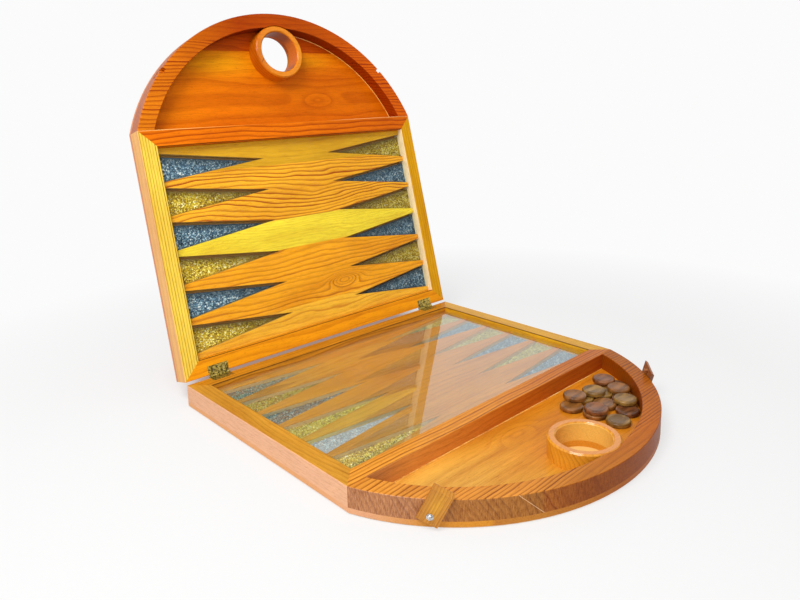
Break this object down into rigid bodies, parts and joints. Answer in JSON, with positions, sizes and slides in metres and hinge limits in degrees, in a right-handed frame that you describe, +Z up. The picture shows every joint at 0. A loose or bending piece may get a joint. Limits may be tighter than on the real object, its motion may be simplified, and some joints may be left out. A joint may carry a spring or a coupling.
{
  "type": "backgammon box",
  "caption": "Folding wooden backgammon box of two arched trays with pointed fields under glass, hand holes, hinges, turn latches and dark checkers.",
  "frame": {"origin": "middle of the lower leaf's flat underside, which stands on the table", "axes": "+Z up, +X along the hinge towards the heap of checkers' side, +Y from the lower leaf's arch to the hinge"},
  "size_m": [0.45, 0.6186, 0.4861],
  "materials": {
    "pine_boards": "oiled",
    "pine_frame": "oiled",
    "pine_rim": "oiled",
    "pine_ring": "oiled",
    "pine_field": "oiled",
    "pine_latch": "oiled",
    "blue_granules": "granular",
    "gold_granules": "granular",
    "clear_glass": "polished",
    "aged_brass": "aged",
    "brass_screws": "satin",
    "bright_steel": "bright",
    "dark_walnut": "waxed"
  },
  "bodies": {
    "lower_leaf": {"lower_base_panel": "pine_boards", "lower_left_stile": "pine_frame", "lower_right_stile": "pine_frame", "lower_hinge_rail": "pine_frame", "lower_divider_rail": "pine_frame", "lower_arch_rim": "pine_rim", "lower_grip_ring": "pine_ring", "lower_field_board": "pine_field", "lower_blue_granules": "blue_granules", "lower_gold_granules": "gold_granules", "lower_glass_pane": "clear_glass", "lower_hinge_screws": "brass_screws", "lower_hinge_plates": "aged_brass", "hinge_pins": "aged_brass", "latch_screws": "bright_steel", "latch_washers": "bright_steel"},
    "upper_leaf": {"upper_base_panel": "pine_boards", "upper_left_stile": "pine_frame", "upper_right_stile": "pine_frame", "upper_hinge_rail": "pine_frame", "upper_divider_rail": "pine_frame", "upper_arch_rim": "pine_rim", "upper_grip_ring": "pine_ring", "upper_field_board": "pine_field", "upper_blue_granules": "blue_granules", "upper_gold_granules": "gold_granules", "upper_glass_pane": "clear_glass", "upper_hinge_screws": "brass_screws", "upper_hinge_plates": "aged_brass"},
    "left_latch": {"left_latch": "pine_latch", "left_latch_peg": "pine_latch"},
    "right_latch": {"right_latch": "pine_latch", "right_latch_peg": "pine_latch"},
    "checkers_below": {"checkers_below": "dark_walnut"},
    "checkers_on_top": {"checkers_on_top": "dark_walnut"}
  },
  "joints": [
    {"name": "fold", "type": "hinge", "parent": "lower_leaf", "child": "upper_leaf", "pos_m": [0, 0.2377, 0.02825], "axis": [-1, 0, 0], "range_deg": [-104.5, 75.5]},
    {"name": "left_latch_turn", "type": "hinge", "parent": "lower_leaf", "child": "left_latch", "pos_m": [-0.18707, -0.14507, 0.014], "axis": [0.7837, 0.6211, 0], "range_deg": [-27, 15]},
    {"name": "right_latch_turn", "type": "hinge", "parent": "lower_leaf", "child": "right_latch", "pos_m": [0.18707, -0.14507, 0.014], "axis": [0.7837, -0.6211, 0], "range_deg": [-27, 15]},
    {"name": "checkers_lift", "type": "slide", "parent": "lower_leaf", "child": "checkers_below", "axis": [0, 0, 1], "range_m": [0, 0.12]},
    {"name": "top_checkers_lift", "type": "slide", "parent": "checkers_below", "child": "checkers_on_top", "axis": [0, 0, 1], "range_m": [0, 0.06]}
  ]
}
